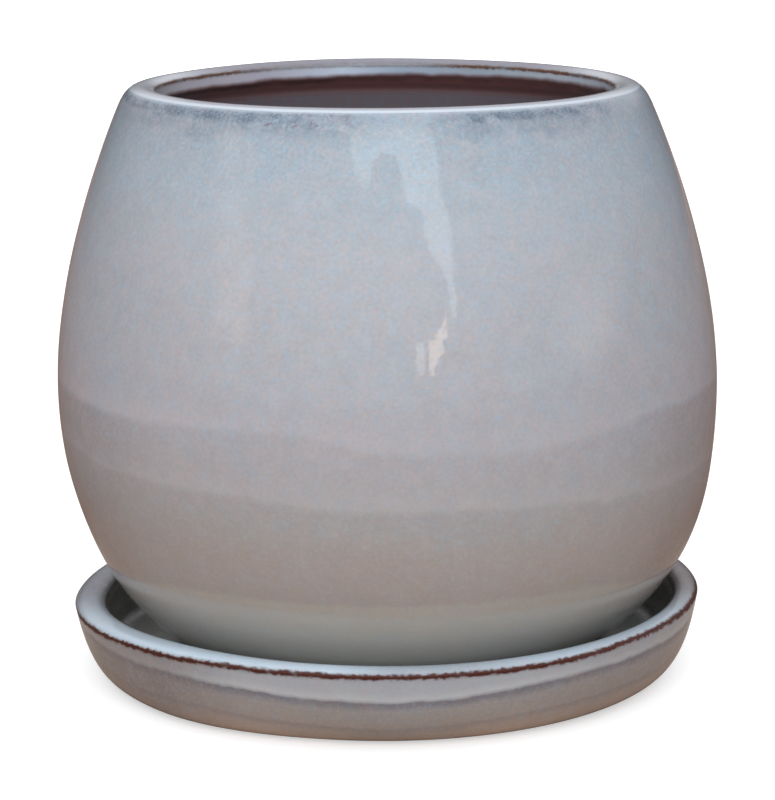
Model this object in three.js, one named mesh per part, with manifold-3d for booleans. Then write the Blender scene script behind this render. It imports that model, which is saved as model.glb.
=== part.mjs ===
// A glazed stoneware planter: a bellied pot with a drain hole, standing in its own drip saucer.
// Millimetres, +Z up. The origin is on the turning axis, on the surface that the saucer stands on.

import * as THREE from "three";
import { mergeVertices } from "three/addons/utils/BufferGeometryUtils.js";
import Module from "manifold-3d";

// Pot: body
const potHeight = 185.2; // foot to the crest of the lip
const bellyRadius = 108;
const bellyRise = 87.2; // widest ring above the foot
const potWall = 8.5;
const potFloor = 9; // foot plane to the floor inside

// Pot: curve of the outside wall. A pull is how far a curve holds the direction it starts in.
const shoulderLean = THREE.MathUtils.degToRad(23); // from upright, where the wall meets the lip
const shoulderPull = 13.6;
const upperBellyPull = 37;
const lowerBellyPull = 25.5;
const footLean = THREE.MathUtils.degToRad(67); // from upright, where the wall meets the foot
const footPull = 43.5;

// Pot: rolled lip
const mouthRadius = 74; // the sharp inner edge, where the glaze breaks
const lipWidth = 12.75; // inner edge to where the roll runs into the shoulder
const lipRollDepth = 8; // crest to where the roll runs into the shoulder
const lipCrestInset = 4.5; // inner edge to the crest
const lipEdgeDrop = 1.8; // crest to the inner edge
const lipOuterPull = 4.8;
const throatDepth = 4.2; // upright band under the inner edge, where the glaze ends

// Pot: foot and drain
const footRadius = 62;
const footRingWidth = 12;
const footRecess = 2.5;
const footEdgeRound = 1;
const drainRadius = 8;
const drainEdgeBevel = 1.2;
const weepNotchCount = 3;
const weepNotchWidth = 9;
const weepNotchDepth = 2;

// Saucer
const saucerHeight = 27.9; // to the crest of the lip
const saucerGap = 9; // pot wall to the saucer's inner edge, level with that edge
const saucerWall = 8.1;
const saucerFloor = 9;
const saucerWallLean = THREE.MathUtils.degToRad(11); // from upright, under the outer edge
const saucerWallPull = 24;
const saucerFootInset = 19; // outer edge to the foot ring
const saucerFootLean = THREE.MathUtils.degToRad(78);
const saucerFootPull = 5;
const saucerFootRingWidth = 12;
const saucerRecess = 2;
const saucerEdgeDrop = 2.2; // crest to the sharp outer edge, where the glaze breaks
const saucerCrestInset = 4; // outer edge to the crest
const saucerInnerDrop = 1.2; // crest to the inner edge
const saucerFillet = 6; // wall to floor, inside

// The pot's foot stands on the saucer's floor with a hair of clearance.
const seatClearance = 0.3;

// Fineness of the surfaces
const facetsAround = 80;
const cutOver = 1; // how far a cutting shape runs past what it cuts

// Heights and radii that follow from the sizes above
const potFootZ = saucerFloor + seatClearance;
const potCrestZ = potFootZ + potHeight;
const bellyZ = potFootZ + bellyRise;
const potFloorZ = potFootZ + potFloor;
const shoulderRadius = mouthRadius + lipWidth;
const shoulderZ = potCrestZ - lipRollDepth;
const crestRadius = mouthRadius + lipCrestInset;
const edgeZ = potCrestZ - lipEdgeDrop;
const throatZ = edgeZ - throatDepth;

// Points and curves of a profile: x is the radius and y is the height.
const at = (radius, height) => new THREE.Vector2(radius, height);
const bend = (from, fromPull, toPull, to) => new THREE.CubicBezierCurve(from, fromPull, toPull, to);

// The point a distance above another, in a direction that leans outwards from straight up.
// A negative lean is inwards, and a negative distance is downwards.
function leaning(from, lean, distance) {
  return at(from.x + distance * Math.sin(lean), from.y + distance * Math.cos(lean));
}

// A quarter-round that turns from one direction into the next around a square corner.
function rounded(from, corner, to) {
  return new THREE.QuadraticBezierCurve(from, corner, to);
}

// The points along a curve. The last is left out, because the next curve starts with it.
function pointsAlong(curve, steps) {
  return curve.getPoints(steps).slice(0, steps);
}

// The points of an outside wall moved inwards by a wall's thickness, square to the wall.
function innerFace(curve, thickness, steps) {
  const points = [];
  for (let step = 0; step <= steps; step += 1) {
    const share = step / steps;
    const along = curve.getTangent(share);
    points.push(curve.getPoint(share).add(at(-along.y, along.x).multiplyScalar(thickness)));
  }
  return points;
}

// The radius of an outside wall at a height, found by halving, on a wall that climbs all the way.
function radiusAtHeight(curve, height) {
  let low = 0;
  let high = 1;
  for (let halving = 0; halving < 40; halving += 1) {
    const middle = (low + high) / 2;
    if (curve.getPoint(middle).y < height) low = middle;
    else high = middle;
  }
  return curve.getPoint(low).x;
}

// The pot's outside wall, from the foot up to the lip.
const footEdge = at(footRadius, potFootZ);
const belly = at(bellyRadius, bellyZ);
const shoulder = at(shoulderRadius, shoulderZ);
const flankCurve = bend(
  footEdge,
  leaning(footEdge, footLean, footPull),
  at(bellyRadius, bellyZ - lowerBellyPull),
  belly,
);
const shoulderCurve = bend(
  belly,
  at(bellyRadius, bellyZ + upperBellyPull),
  leaning(shoulder, -shoulderLean, -shoulderPull),
  shoulder,
);

// The saucer is matched to its pot: its inner edge clears the pot's flank all round.
const saucerInnerEdgeZ = saucerHeight - saucerInnerDrop;
const saucerInnerRadius = radiusAtHeight(flankCurve, saucerInnerEdgeZ) + saucerGap;
const saucerRadius = saucerInnerRadius + saucerWall;

// The foot ring of the pot, from the drain hole out to the flank.
function potFootPoints() {
  const recessZ = potFootZ + footRecess;
  const ringInner = footRadius - footRingWidth;
  return [
    at(drainRadius, recessZ + drainEdgeBevel),
    at(drainRadius + drainEdgeBevel, recessZ),
    at(ringInner - footRecess, recessZ),
    ...pointsAlong(
      rounded(
        at(ringInner, potFootZ + footEdgeRound),
        at(ringInner, potFootZ),
        at(ringInner + footEdgeRound, potFootZ),
      ),
      2,
    ),
    at(ringInner + footEdgeRound, potFootZ),
  ];
}

// The lip: a roll over the outside, a soft crest and a sharp inner edge above a short throat.
function lipPoints() {
  const crest = at(crestRadius, potCrestZ);
  const innerEdge = at(mouthRadius, edgeZ);
  const rollOut = leaning(shoulder, -shoulderLean, lipRollDepth / 2);
  const outerRoll = bend(shoulder, rollOut, at(crestRadius + lipOuterPull, potCrestZ), crest);
  const innerRoll = bend(
    crest,
    at(crestRadius - lipCrestInset / 2, potCrestZ),
    at(mouthRadius + lipEdgeDrop / 2, edgeZ + lipEdgeDrop / 2),
    innerEdge,
  );
  return [...pointsAlong(outerRoll, 6), ...pointsAlong(innerRoll, 3), innerEdge];
}

// The inside, from the throat down to the floor and the drain hole.
function potInsidePoints() {
  const shoulderInside = innerFace(shoulderCurve, potWall, 5).reverse();
  const throatEnd = at(mouthRadius, throatZ);
  const underLip = bend(
    throatEnd,
    at(mouthRadius, throatZ - throatDepth / 2),
    leaning(shoulderInside[0], -shoulderLean, throatDepth / 2),
    shoulderInside[0],
  );
  const flankInside = innerFace(flankCurve, potWall, 9).reverse().slice(1);
  return [
    ...pointsAlong(underLip, 3),
    ...shoulderInside,
    ...flankInside.filter((point) => point.y > potFloorZ),
    at(radiusAtFloor(flankInside), potFloorZ),
    at(drainRadius, potFloorZ),
  ];
}

// Where an inside wall, listed from the top down, comes down to the pot's floor.
function radiusAtFloor(wallPoints) {
  const below = wallPoints.findIndex((point) => point.y <= potFloorZ);
  if (below < 0) return wallPoints[wallPoints.length - 1].x;
  const upper = wallPoints[below - 1];
  const lower = wallPoints[below];
  const share = (upper.y - potFloorZ) / (upper.y - lower.y);
  return THREE.MathUtils.lerp(upper.x, lower.x, share);
}

function potProfile() {
  const points = [
    ...potFootPoints(),
    ...pointsAlong(flankCurve, 11),
    ...pointsAlong(shoulderCurve, 8),
    ...lipPoints(),
    ...potInsidePoints(),
  ];
  return [...points, points[0]];
}

// The saucer's outside wall, from the foot ring up to the sharp outer edge.
const saucerFootEdge = at(saucerRadius - saucerFootInset, 0);
const saucerOuterEdge = at(saucerRadius, saucerHeight - saucerEdgeDrop);
const saucerWallCurve = bend(
  saucerFootEdge,
  leaning(saucerFootEdge, saucerFootLean, saucerFootPull),
  leaning(saucerOuterEdge, saucerWallLean, -saucerWallPull),
  saucerOuterEdge,
);

function saucerUndersidePoints() {
  const ringInner = saucerFootEdge.x - saucerFootRingWidth;
  return [at(0, saucerRecess), at(ringInner - saucerRecess, saucerRecess), at(ringInner, 0)];
}

function saucerLipPoints() {
  const crest = at(saucerRadius - saucerCrestInset, saucerHeight);
  const innerEdge = at(saucerInnerRadius, saucerInnerEdgeZ);
  const outerRoll = rounded(saucerOuterEdge, at(saucerRadius - saucerEdgeDrop / 2, saucerHeight), crest);
  const innerRoll = rounded(crest, at(saucerInnerRadius + saucerInnerDrop, saucerHeight), innerEdge);
  return [...pointsAlong(outerRoll, 4), ...pointsAlong(innerRoll, 3), innerEdge];
}

function saucerInsidePoints() {
  const filletTop = saucerFloor + saucerFillet;
  const wall = innerFace(saucerWallCurve, saucerWall, 10).reverse().slice(1);
  const upright = wall.filter((point) => point.y > filletTop);
  const wallFoot = upright.length > 0 ? upright[upright.length - 1].x : saucerInnerRadius;
  const fillet = rounded(
    at(wallFoot, filletTop),
    at(wallFoot, saucerFloor),
    at(wallFoot - saucerFillet, saucerFloor),
  );
  return [...upright, ...pointsAlong(fillet, 4), at(wallFoot - saucerFillet, saucerFloor), at(0, saucerFloor)];
}

function saucerProfile() {
  return [
    ...saucerUndersidePoints(),
    ...pointsAlong(saucerWallCurve, 9),
    ...saucerLipPoints(),
    ...saucerInsidePoints(),
  ];
}

// A profile turned about the upright axis.
function turned(profile) {
  return new THREE.LatheGeometry(profile, facetsAround).rotateX(Math.PI / 2);
}

const wasm = await Module();
wasm.setup();

// A closed geometry as a solid that can be cut.
function solidOf(geometry) {
  geometry.deleteAttribute("normal");
  geometry.deleteAttribute("uv");
  const merged = mergeVertices(geometry);
  return new wasm.Manifold(
    new wasm.Mesh({
      numProp: 3,
      vertProperties: merged.attributes.position.array,
      triVerts: new Uint32Array(merged.index.array),
    }),
  );
}

function geometryOf(solid) {
  const mesh = solid.getMesh();
  const geometry = new THREE.BufferGeometry();
  geometry.setAttribute("position", new THREE.BufferAttribute(mesh.vertProperties, 3));
  geometry.setIndex(new THREE.BufferAttribute(mesh.triVerts, 1));
  geometry.computeVertexNormals();
  return geometry;
}

// A slot through the foot ring, from the recess out to the open air, that lets drained water run off.
function weepNotch(angle) {
  const inner = footRadius - footRingWidth - footRecess - cutOver;
  const outer = radiusAtHeight(flankCurve, potFootZ + weepNotchDepth) + cutOver;
  const slot = new THREE.BoxGeometry(outer - inner, weepNotchWidth, weepNotchDepth + cutOver);
  slot.translate((inner + outer) / 2, 0, potFootZ + (weepNotchDepth - cutOver) / 2);
  return slot.rotateZ(angle);
}

function potGeometry() {
  let pot = solidOf(turned(potProfile()));
  for (let notch = 0; notch < weepNotchCount; notch += 1) {
    const angle = (notch / weepNotchCount) * 2 * Math.PI;
    pot = pot.subtract(solidOf(weepNotch(angle)));
  }
  return geometryOf(pot);
}

const potGlaze = new THREE.MeshStandardMaterial({ color: "#a9adb8", roughness: 0.18, metalness: 0 });
const saucerGlaze = new THREE.MeshStandardMaterial({ color: "#9aa0a8", roughness: 0.2, metalness: 0 });

function named(name, geometry, material) {
  const mesh = new THREE.Mesh(geometry, material);
  mesh.name = name;
  return mesh;
}

const planter = new THREE.Group();
planter.add(named("pot", potGeometry(), potGlaze));
planter.add(named("saucer", turned(saucerProfile()), saucerGlaze));

export default planter;
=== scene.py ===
import math

import bmesh
import bpy
import numpy as np
from mathutils import Euler, Matrix, Vector, noise


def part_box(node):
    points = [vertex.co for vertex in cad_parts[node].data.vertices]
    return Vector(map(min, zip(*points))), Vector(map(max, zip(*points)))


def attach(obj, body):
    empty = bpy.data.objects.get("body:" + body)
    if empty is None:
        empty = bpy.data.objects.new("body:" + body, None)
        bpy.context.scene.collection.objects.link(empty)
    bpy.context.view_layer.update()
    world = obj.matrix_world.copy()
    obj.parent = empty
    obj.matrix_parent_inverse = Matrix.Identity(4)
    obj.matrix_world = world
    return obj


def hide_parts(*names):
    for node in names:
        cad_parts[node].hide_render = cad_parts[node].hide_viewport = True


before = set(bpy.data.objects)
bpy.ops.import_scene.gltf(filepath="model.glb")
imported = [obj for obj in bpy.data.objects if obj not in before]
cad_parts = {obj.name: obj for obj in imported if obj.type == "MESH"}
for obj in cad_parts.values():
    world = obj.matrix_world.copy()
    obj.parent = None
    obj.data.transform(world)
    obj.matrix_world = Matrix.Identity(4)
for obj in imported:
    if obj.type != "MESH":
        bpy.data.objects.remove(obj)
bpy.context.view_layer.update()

MM = 0.001

pot_low, pot_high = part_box("pot")
saucer_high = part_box("saucer")[1]

# Pot, in millimetres. A pull is how far a curve holds the direction in which it starts or ends.
POT_FOOT_Z = pot_low.z / MM
POT_CREST_Z = pot_high.z / MM
BELLY_RADIUS = pot_high.x / MM
BELLY_Z = POT_FOOT_Z + 87.2
POT_WALL = 8.5
POT_FLOOR = 9.0
POT_FILLET = 5.0
SHOULDER_LEAN = math.radians(23)
SHOULDER_PULL = 13.6
UPPER_BELLY_PULL = 37.0
LOWER_BELLY_PULL = 25.5
FOOT_LEAN = math.radians(67)
FOOT_PULL = 43.5
MOUTH_RADIUS = 74.0
LIP_WIDTH = 12.75
LIP_ROLL_DEPTH = 8.0
LIP_CREST_INSET = 4.5
LIP_EDGE_DROP = 1.8
LIP_OUTER_PULL = 4.8
THROAT_DEPTH = 4.2
FOOT_RADIUS = 62.0
FOOT_RING_WIDTH = 12.0
FOOT_RECESS = 2.5
FOOT_EDGE_ROUND = 1.0
DRAIN_RADIUS = 8.0
DRAIN_EDGE_ROUND = 1.2
WEEP_NOTCHES = 3
WEEP_NOTCH_WIDTH = 9.0
WEEP_NOTCH_DEPTH = 2.0

# Saucer, in millimetres
SAUCER_RADIUS = saucer_high.x / MM
SAUCER_HEIGHT = saucer_high.z / MM
SAUCER_WALL = 8.1
SAUCER_FLOOR = 9.0
SAUCER_WALL_LEAN = math.radians(11)
SAUCER_WALL_PULL = 24.0
SAUCER_FOOT_INSET = 18.3
SAUCER_FOOT_LEAN = math.radians(78)
SAUCER_FOOT_PULL = 5.0
SAUCER_FOOT_RING_WIDTH = 12.0
SAUCER_RECESS = 2.0
SAUCER_EDGE_DROP = 2.2
SAUCER_CREST_INSET = 4.0
SAUCER_INNER_DROP = 3.6
SAUCER_INNER_ROUND = 0.6
SAUCER_FILLET = 6.0

# Unevenness of a hand-finished pot, in millimetres
FOOT_STAYS_TRUE = 20.0
LIP_WAVES_BELOW_CREST = 30.0
LIP_RISE = 0.45
LIP_RISE_FACES = math.radians(-122)
LOWER_BODY_SHIFT = 1.35
LOWER_BODY_Z = 48.0
LOWER_BODY_REACH = 26.0
SAUCER_MIDDLE_STAYS_TRUE = 75.0
SAUCER_RIM_TILT = 1.0
SAUCER_RIM_WARP = 0.7
SAUCER_SHIFT = -0.8
SAUCER_BULGE = 3.4
SAUCER_LIP_SWELL = 2.4
SAUCER_BULGE_FACES = math.radians(-160)
SAUCER_BULGE_HALF_WIDTH = math.radians(60)
WALL_WAVE = 0.15
SAUCER_WAVE = 0.2
RIM_WAVE = 0.25
WAVE_LOBES = (2, 3, 4, 5)
WAVE_TWIST = 60.0
SKIN_RIPPLE = 0.05
SKIN_RIPPLE_SIZE = 14.0

# Coat of glaze, in millimetres
GLAZE_COAT = 0.35
GLAZE_ROLL = 1.5
GLAZE_SHORT_OF_FOOT = 3.0
SAUCER_GLAZE_SHORT = 1.5
WASH_BELOW_EDGE = 12.0

# Fineness of the meshes, in millimetres and counts
AROUND = 360
FINE_STEP = 0.5
WALL_STEP = 1.6
HIDDEN_STEP = 3.0
CURVE_SAMPLES = 200
LEAST_LENGTH = 1e-9

# Camera, floor and lamps. Places are in metres, and the lens is in millimetres.
CAMERA_PLACE = (0, -1.005, 0.2988)
CAMERA_LENS = 140.09
CAMERA_PITCH = math.radians(11.758)
CAMERA_ROLL = math.radians(0.45)
FLOOR_RADIUS = 6.0
FLOOR_RINGS = 8
FLOOR_SIDES = 96
FLOOR_GLOW = 0.52
KEY_PLACE = (-0.1, -2.6, 1.25)
KEY_TARGET = (0, 0, 0.1)
KEY_WIDTH = 2.0
KEY_HEIGHT = 1.6
KEY_WATTS = 38.0
KEY_COLOUR = (1, 0.985, 0.96)
BACK_PLACE = (0.25, 2.4, 0.5)
BACK_TARGET = (0, 0, 0.125)
BACK_WIDTH = 1.6
BACK_HEIGHT = 0.9
BACK_WATTS = 16.0
WHITE_LIGHT = (1, 1, 1)

# The window in front. A shine of 1 is as bright as white in the picture.
WINDOW_Y = -1.5
WINDOW_LEFT = -1.0
WINDOW_RIGHT = 0.72
WINDOW_TOP_RIGHT = 0.62
WINDOW_CORNER_Z = 0.86
WINDOW_STRAIGHT_Z = 1.1
WINDOW_BOTTOM = 0.5
WINDOW_TOP = 2.3
WINDOW_SHINE = 2.0
WINDOW_TOP_SHINE = 0.6
SKYLINE_BLUR = 0.006
WINDOW_SIDE_BLUR = 0.01

# The skyline across the window, left to right
SKYLINE = [
    (-1.0, 1.8),
    (-0.5, 1.5),
    (-0.4, 1.24),
    (-0.37, 1.14),
    (-0.27, 1.05),
    (-0.17, 1.05),
    (-0.14, 1.15),
    (-0.08, 1.21),
    (0.14, 1.215),
    (0.17, 1.12),
    (0.19, 1.02),
    (0.24, 0.985),
    (0.39, 0.93),
    (0.415, 0.85),
    (0.45, 0.8),
    (0.545, 0.76),
    (0.575, 0.7),
    (0.6, 0.65),
    (0.605, 0.53),
    (0.675, 0.53),
    (0.72, 0.66),
]

# Two bright panes below the window
CREAM_SHINE = 5.0
CREAM_PANE = [
    (0.36, 0.41),
    (0.42, 0.43),
    (0.505, 0.51),
    (0.55, 0.55),
    (0.56, 0.55),
    (0.54, 0.44),
    (0.485, 0.41),
    (0.5, 0.365),
    (0.41, 0.27),
    (0.375, 0.27),
]
PALE_SHINE = 2.8
PALE_PANE = [
    (0.243, 0.39),
    (0.314, 0.395),
    (0.31, 0.275),
    (0.25, 0.275),
]


def point(radius, height):
    return np.array([radius, height], float)


def leaning(start, lean, distance):
    """The point a distance above another, leaning outwards from straight up."""
    return start + distance * point(math.sin(lean), math.cos(lean))


def bezier(start, pull_out, pull_in, end, share):
    """Points on a cubic curve at an array of shares from 0 to 1."""
    t = np.asarray(share)[:, None]
    return (
        (1 - t) ** 3 * start
        + 3 * (1 - t) ** 2 * t * pull_out
        + 3 * (1 - t) * t**2 * pull_in
        + t**3 * end
    )


def lengths_along(points):
    steps = np.linalg.norm(np.diff(points, axis=0), axis=1)
    return np.concatenate([[0.0], np.cumsum(steps)])


def spaced(points, step):
    """The same line with even steps, without its last point, which starts the next line."""
    along = lengths_along(points)
    count = max(2, int(round(along[-1] / step)))
    wanted = np.linspace(0, along[-1], count + 1)[:-1]
    return np.stack([np.interp(wanted, along, points[:, axis]) for axis in (0, 1)], 1)


def curve(start, pull_out, pull_in, end, step):
    return spaced(bezier(start, pull_out, pull_in, end, np.linspace(0, 1, CURVE_SAMPLES)), step)


def rounded(start, corner, end, step):
    """A quarter-round that turns at a corner."""
    two_thirds = 2 / 3
    pull_out = start + two_thirds * (corner - start)
    pull_in = end + two_thirds * (corner - end)
    return curve(start, pull_out, pull_in, end, step)


def straight(start, end, step):
    return spaced(np.stack([start, end]), step)


def inner_face(outside, thickness):
    """A wall's outside moved inwards by its thickness, square to the wall, listed from the top down."""
    along = np.gradient(outside, axis=0)
    along /= np.linalg.norm(along, axis=1)[:, None]
    inwards = np.stack([-along[:, 1], along[:, 0]], 1)
    return (outside + thickness * inwards)[::-1]


def joined(**stretches):
    """One line out of named stretches, its length at each point, and the length at which each begins."""
    points = np.concatenate(list(stretches.values()))
    along = lengths_along(points)
    begins = {}
    first = 0
    for name, stretch in stretches.items():
        begins[name] = along[first]
        first += len(stretch)
    return points, along, begins


def pot_profile():
    """The pot's section, from the drain hole out round the wall, over the lip and back to the hole."""
    recess_z = POT_FOOT_Z + FOOT_RECESS
    floor_z = POT_FOOT_Z + POT_FLOOR
    ring_inner = FOOT_RADIUS - FOOT_RING_WIDTH
    foot_edge = point(FOOT_RADIUS, POT_FOOT_Z)
    belly = point(BELLY_RADIUS, BELLY_Z)
    shoulder = point(MOUTH_RADIUS + LIP_WIDTH, POT_CREST_Z - LIP_ROLL_DEPTH)
    crest = point(MOUTH_RADIUS + LIP_CREST_INSET, POT_CREST_Z)
    lip_edge = point(MOUTH_RADIUS, POT_CREST_Z - LIP_EDGE_DROP)
    throat_end = lip_edge - point(0, THROAT_DEPTH)

    flank = curve(
        foot_edge,
        leaning(foot_edge, FOOT_LEAN, FOOT_PULL),
        belly - point(0, LOWER_BELLY_PULL),
        belly,
        WALL_STEP,
    )
    upper_wall = curve(
        belly,
        belly + point(0, UPPER_BELLY_PULL),
        leaning(shoulder, -SHOULDER_LEAN, -SHOULDER_PULL),
        shoulder,
        WALL_STEP,
    )
    outer_roll = curve(
        shoulder,
        leaning(shoulder, -SHOULDER_LEAN, LIP_ROLL_DEPTH / 2),
        crest + point(LIP_OUTER_PULL, 0),
        crest,
        FINE_STEP,
    )
    inner_roll = curve(
        crest,
        crest - point(LIP_CREST_INSET / 2, 0),
        lip_edge + point(LIP_EDGE_DROP, LIP_EDGE_DROP) / 2,
        lip_edge,
        FINE_STEP,
    )
    inside = inner_face(np.concatenate([flank, upper_wall, shoulder[None]]), POT_WALL)
    inside = inside[inside[:, 1] > floor_z + POT_FILLET / 2]
    under_lip = curve(
        throat_end,
        throat_end - point(0, THROAT_DEPTH / 2),
        leaning(inside[0], -SHOULDER_LEAN, THROAT_DEPTH / 2),
        inside[0],
        FINE_STEP,
    )
    floor_corner = point(inside[-1][0] - POT_FILLET / 2, floor_z)
    floor_start = point(inside[-1][0] - 2 * POT_FILLET, floor_z)
    hole_top = point(DRAIN_RADIUS, floor_z)
    hole_bottom = point(DRAIN_RADIUS, recess_z)
    edge_out = point(DRAIN_EDGE_ROUND, 0)
    edge_up = point(0, DRAIN_EDGE_ROUND)
    recess_end = point(ring_inner - FOOT_RECESS, recess_z)
    ring_corner = point(ring_inner, POT_FOOT_Z)
    foot_round_out = point(FOOT_EDGE_ROUND, 0)
    foot_round_up = point(0, FOOT_EDGE_ROUND)
    flank_from_round = flank[lengths_along(flank) >= FOOT_EDGE_ROUND]
    return joined(
        recess=straight(hole_bottom + edge_out, recess_end, HIDDEN_STEP),
        ring_slope=straight(recess_end, ring_corner + foot_round_up, FINE_STEP),
        ring_round=rounded(
            ring_corner + foot_round_up, ring_corner, ring_corner + foot_round_out, FINE_STEP / 2
        ),
        ring=straight(ring_corner + foot_round_out, foot_edge - foot_round_out, FINE_STEP),
        foot_round=rounded(
            foot_edge - foot_round_out, foot_edge, flank_from_round[0], FINE_STEP / 2
        ),
        flank=flank_from_round,
        upper_wall=upper_wall,
        outer_roll=outer_roll,
        inner_roll=inner_roll,
        throat=straight(lip_edge, throat_end, FINE_STEP),
        under_lip=under_lip,
        inside=inside[:-1],
        floor_round=rounded(inside[-1], floor_corner, floor_start, FINE_STEP),
        floor=straight(floor_start, hole_top + edge_out, HIDDEN_STEP),
        hole_top_round=rounded(
            hole_top + edge_out, hole_top, hole_top - edge_up, FINE_STEP / 2
        ),
        hole=straight(hole_top - edge_up, hole_bottom + edge_up, FINE_STEP),
        hole_bottom_round=rounded(
            hole_bottom + edge_up, hole_bottom, hole_bottom + edge_out, FINE_STEP / 2
        ),
    )


def saucer_profile():
    """The saucer's section, from the axis underneath, out over the lip and back to the axis."""
    inner_radius = SAUCER_RADIUS - SAUCER_WALL
    foot_edge = point(SAUCER_RADIUS - SAUCER_FOOT_INSET, 0)
    outer_edge = point(SAUCER_RADIUS, SAUCER_HEIGHT - SAUCER_EDGE_DROP)
    outer_corner = point(SAUCER_RADIUS - SAUCER_EDGE_DROP / 2, SAUCER_HEIGHT)
    crest = point(SAUCER_RADIUS - SAUCER_CREST_INSET, SAUCER_HEIGHT)
    inner_corner = point(inner_radius + SAUCER_INNER_ROUND, SAUCER_HEIGHT)
    inner_edge = point(inner_radius, SAUCER_HEIGHT - SAUCER_INNER_DROP)
    ring_inner = foot_edge[0] - SAUCER_FOOT_RING_WIDTH
    recess_end = point(ring_inner - SAUCER_RECESS, SAUCER_RECESS)
    wall = curve(
        foot_edge,
        leaning(foot_edge, SAUCER_FOOT_LEAN, SAUCER_FOOT_PULL),
        leaning(outer_edge, SAUCER_WALL_LEAN, -SAUCER_WALL_PULL),
        outer_edge,
        FINE_STEP,
    )
    inside = inner_face(np.concatenate([wall, outer_edge[None]]), SAUCER_WALL)
    inside = inside[inside[:, 1] > SAUCER_FLOOR + SAUCER_FILLET]
    inside = inside[inside[:, 1] < inner_edge[1] - 3 * FINE_STEP]
    fillet_corner = point(inside[-1][0], SAUCER_FLOOR)
    floor_start = fillet_corner - point(SAUCER_FILLET, 0)
    centre = point(0, SAUCER_FLOOR)
    return joined(
        recess=straight(point(0, SAUCER_RECESS), recess_end, HIDDEN_STEP),
        ring_slope=straight(recess_end, point(ring_inner, 0), FINE_STEP),
        ring=straight(point(ring_inner, 0), foot_edge, FINE_STEP),
        wall=wall,
        outer_roll=rounded(outer_edge, outer_corner, crest, FINE_STEP / 2),
        inner_roll=rounded(crest, inner_corner, inner_edge, FINE_STEP / 2),
        inner_edge=straight(inner_edge, inside[0], FINE_STEP),
        inside=inside[:-1],
        fillet=rounded(inside[-1], fillet_corner, floor_start, FINE_STEP),
        floor=straight(floor_start, centre, WALL_STEP),
        centre=centre[None],
    )


def smooth_step(values, low, high):
    share = np.clip((values - low) / (high - low), 0, 1)
    return share * share * (3 - 2 * share)


def wave(theta, height, seed):
    """A soft unevenness round a pot, of a few lobes that twist slowly with height."""
    rng = np.random.default_rng(seed)
    total = np.zeros(np.broadcast(theta, height).shape)
    for lobes in WAVE_LOBES:
        phase = rng.uniform(0, 2 * math.pi)
        twist = rng.normal(0, 1) / WAVE_TWIST
        total += np.cos(lobes * theta + phase + twist * height) / lobes
    return total


def ripple(x, y, z, size):
    """Smooth noise over a surface, at points in millimetres."""
    places = np.stack([x.ravel(), y.ravel(), z.ravel()], 1) / size
    values = [noise.noise(Vector(place)) for place in places]
    return np.array(values).reshape(x.shape)


def outwards(points):
    """The direction square to a profile, away from the clay."""
    along = np.gradient(points, axis=0)
    along /= np.maximum(np.linalg.norm(along, axis=1), LEAST_LENGTH)[:, None]
    return np.stack([along[:, 1], -along[:, 0]], 1)


def under_the_glaze(points, coated):
    """The profile with its bare clay as far back as the coat of glaze is thick."""
    bare = 1 - smooth_step(coated, 0, GLAZE_ROLL)
    return points - GLAZE_COAT * bare[:, None] * outwards(points)


def pot_surface(radius, height, theta):
    """The turned pot with its waves, its lower body off centre and the weep notches in its foot."""
    above_foot = smooth_step(height, POT_FOOT_Z, POT_FOOT_Z + FOOT_STAYS_TRUE)
    near_lip = smooth_step(height, POT_CREST_Z - LIP_WAVES_BELOW_CREST, POT_CREST_Z)
    sideways = LOWER_BODY_SHIFT * np.exp(-(((height - LOWER_BODY_Z) / LOWER_BODY_REACH) ** 2))
    radius = radius + above_foot * WALL_WAVE * wave(theta, height, seed=3)
    height = height + near_lip * RIM_WAVE * wave(theta, 0 * height, seed=8)
    facing = np.clip(np.cos(theta - LIP_RISE_FACES), 0, 1)
    height = height + near_lip * LIP_RISE * facing**2
    x = radius * np.cos(theta) + above_foot * sideways
    y = radius * np.sin(theta)
    skin = 1 + SKIN_RIPPLE * above_foot * ripple(x, y, height, SKIN_RIPPLE_SIZE) / BELLY_RADIUS
    for notch in range(WEEP_NOTCHES):
        turn = 2 * math.pi * notch / WEEP_NOTCHES
        across = radius * np.sin(theta - turn)
        ahead = radius * np.cos(theta - turn)
        cut = smooth_step(WEEP_NOTCH_WIDTH / 2 - abs(across), -FOOT_EDGE_ROUND, 0) * (ahead > 0)
        missing = np.maximum(POT_FOOT_Z + WEEP_NOTCH_DEPTH - height, 0)
        height = height + cut * missing
    return x * skin, y * skin, height


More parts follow.
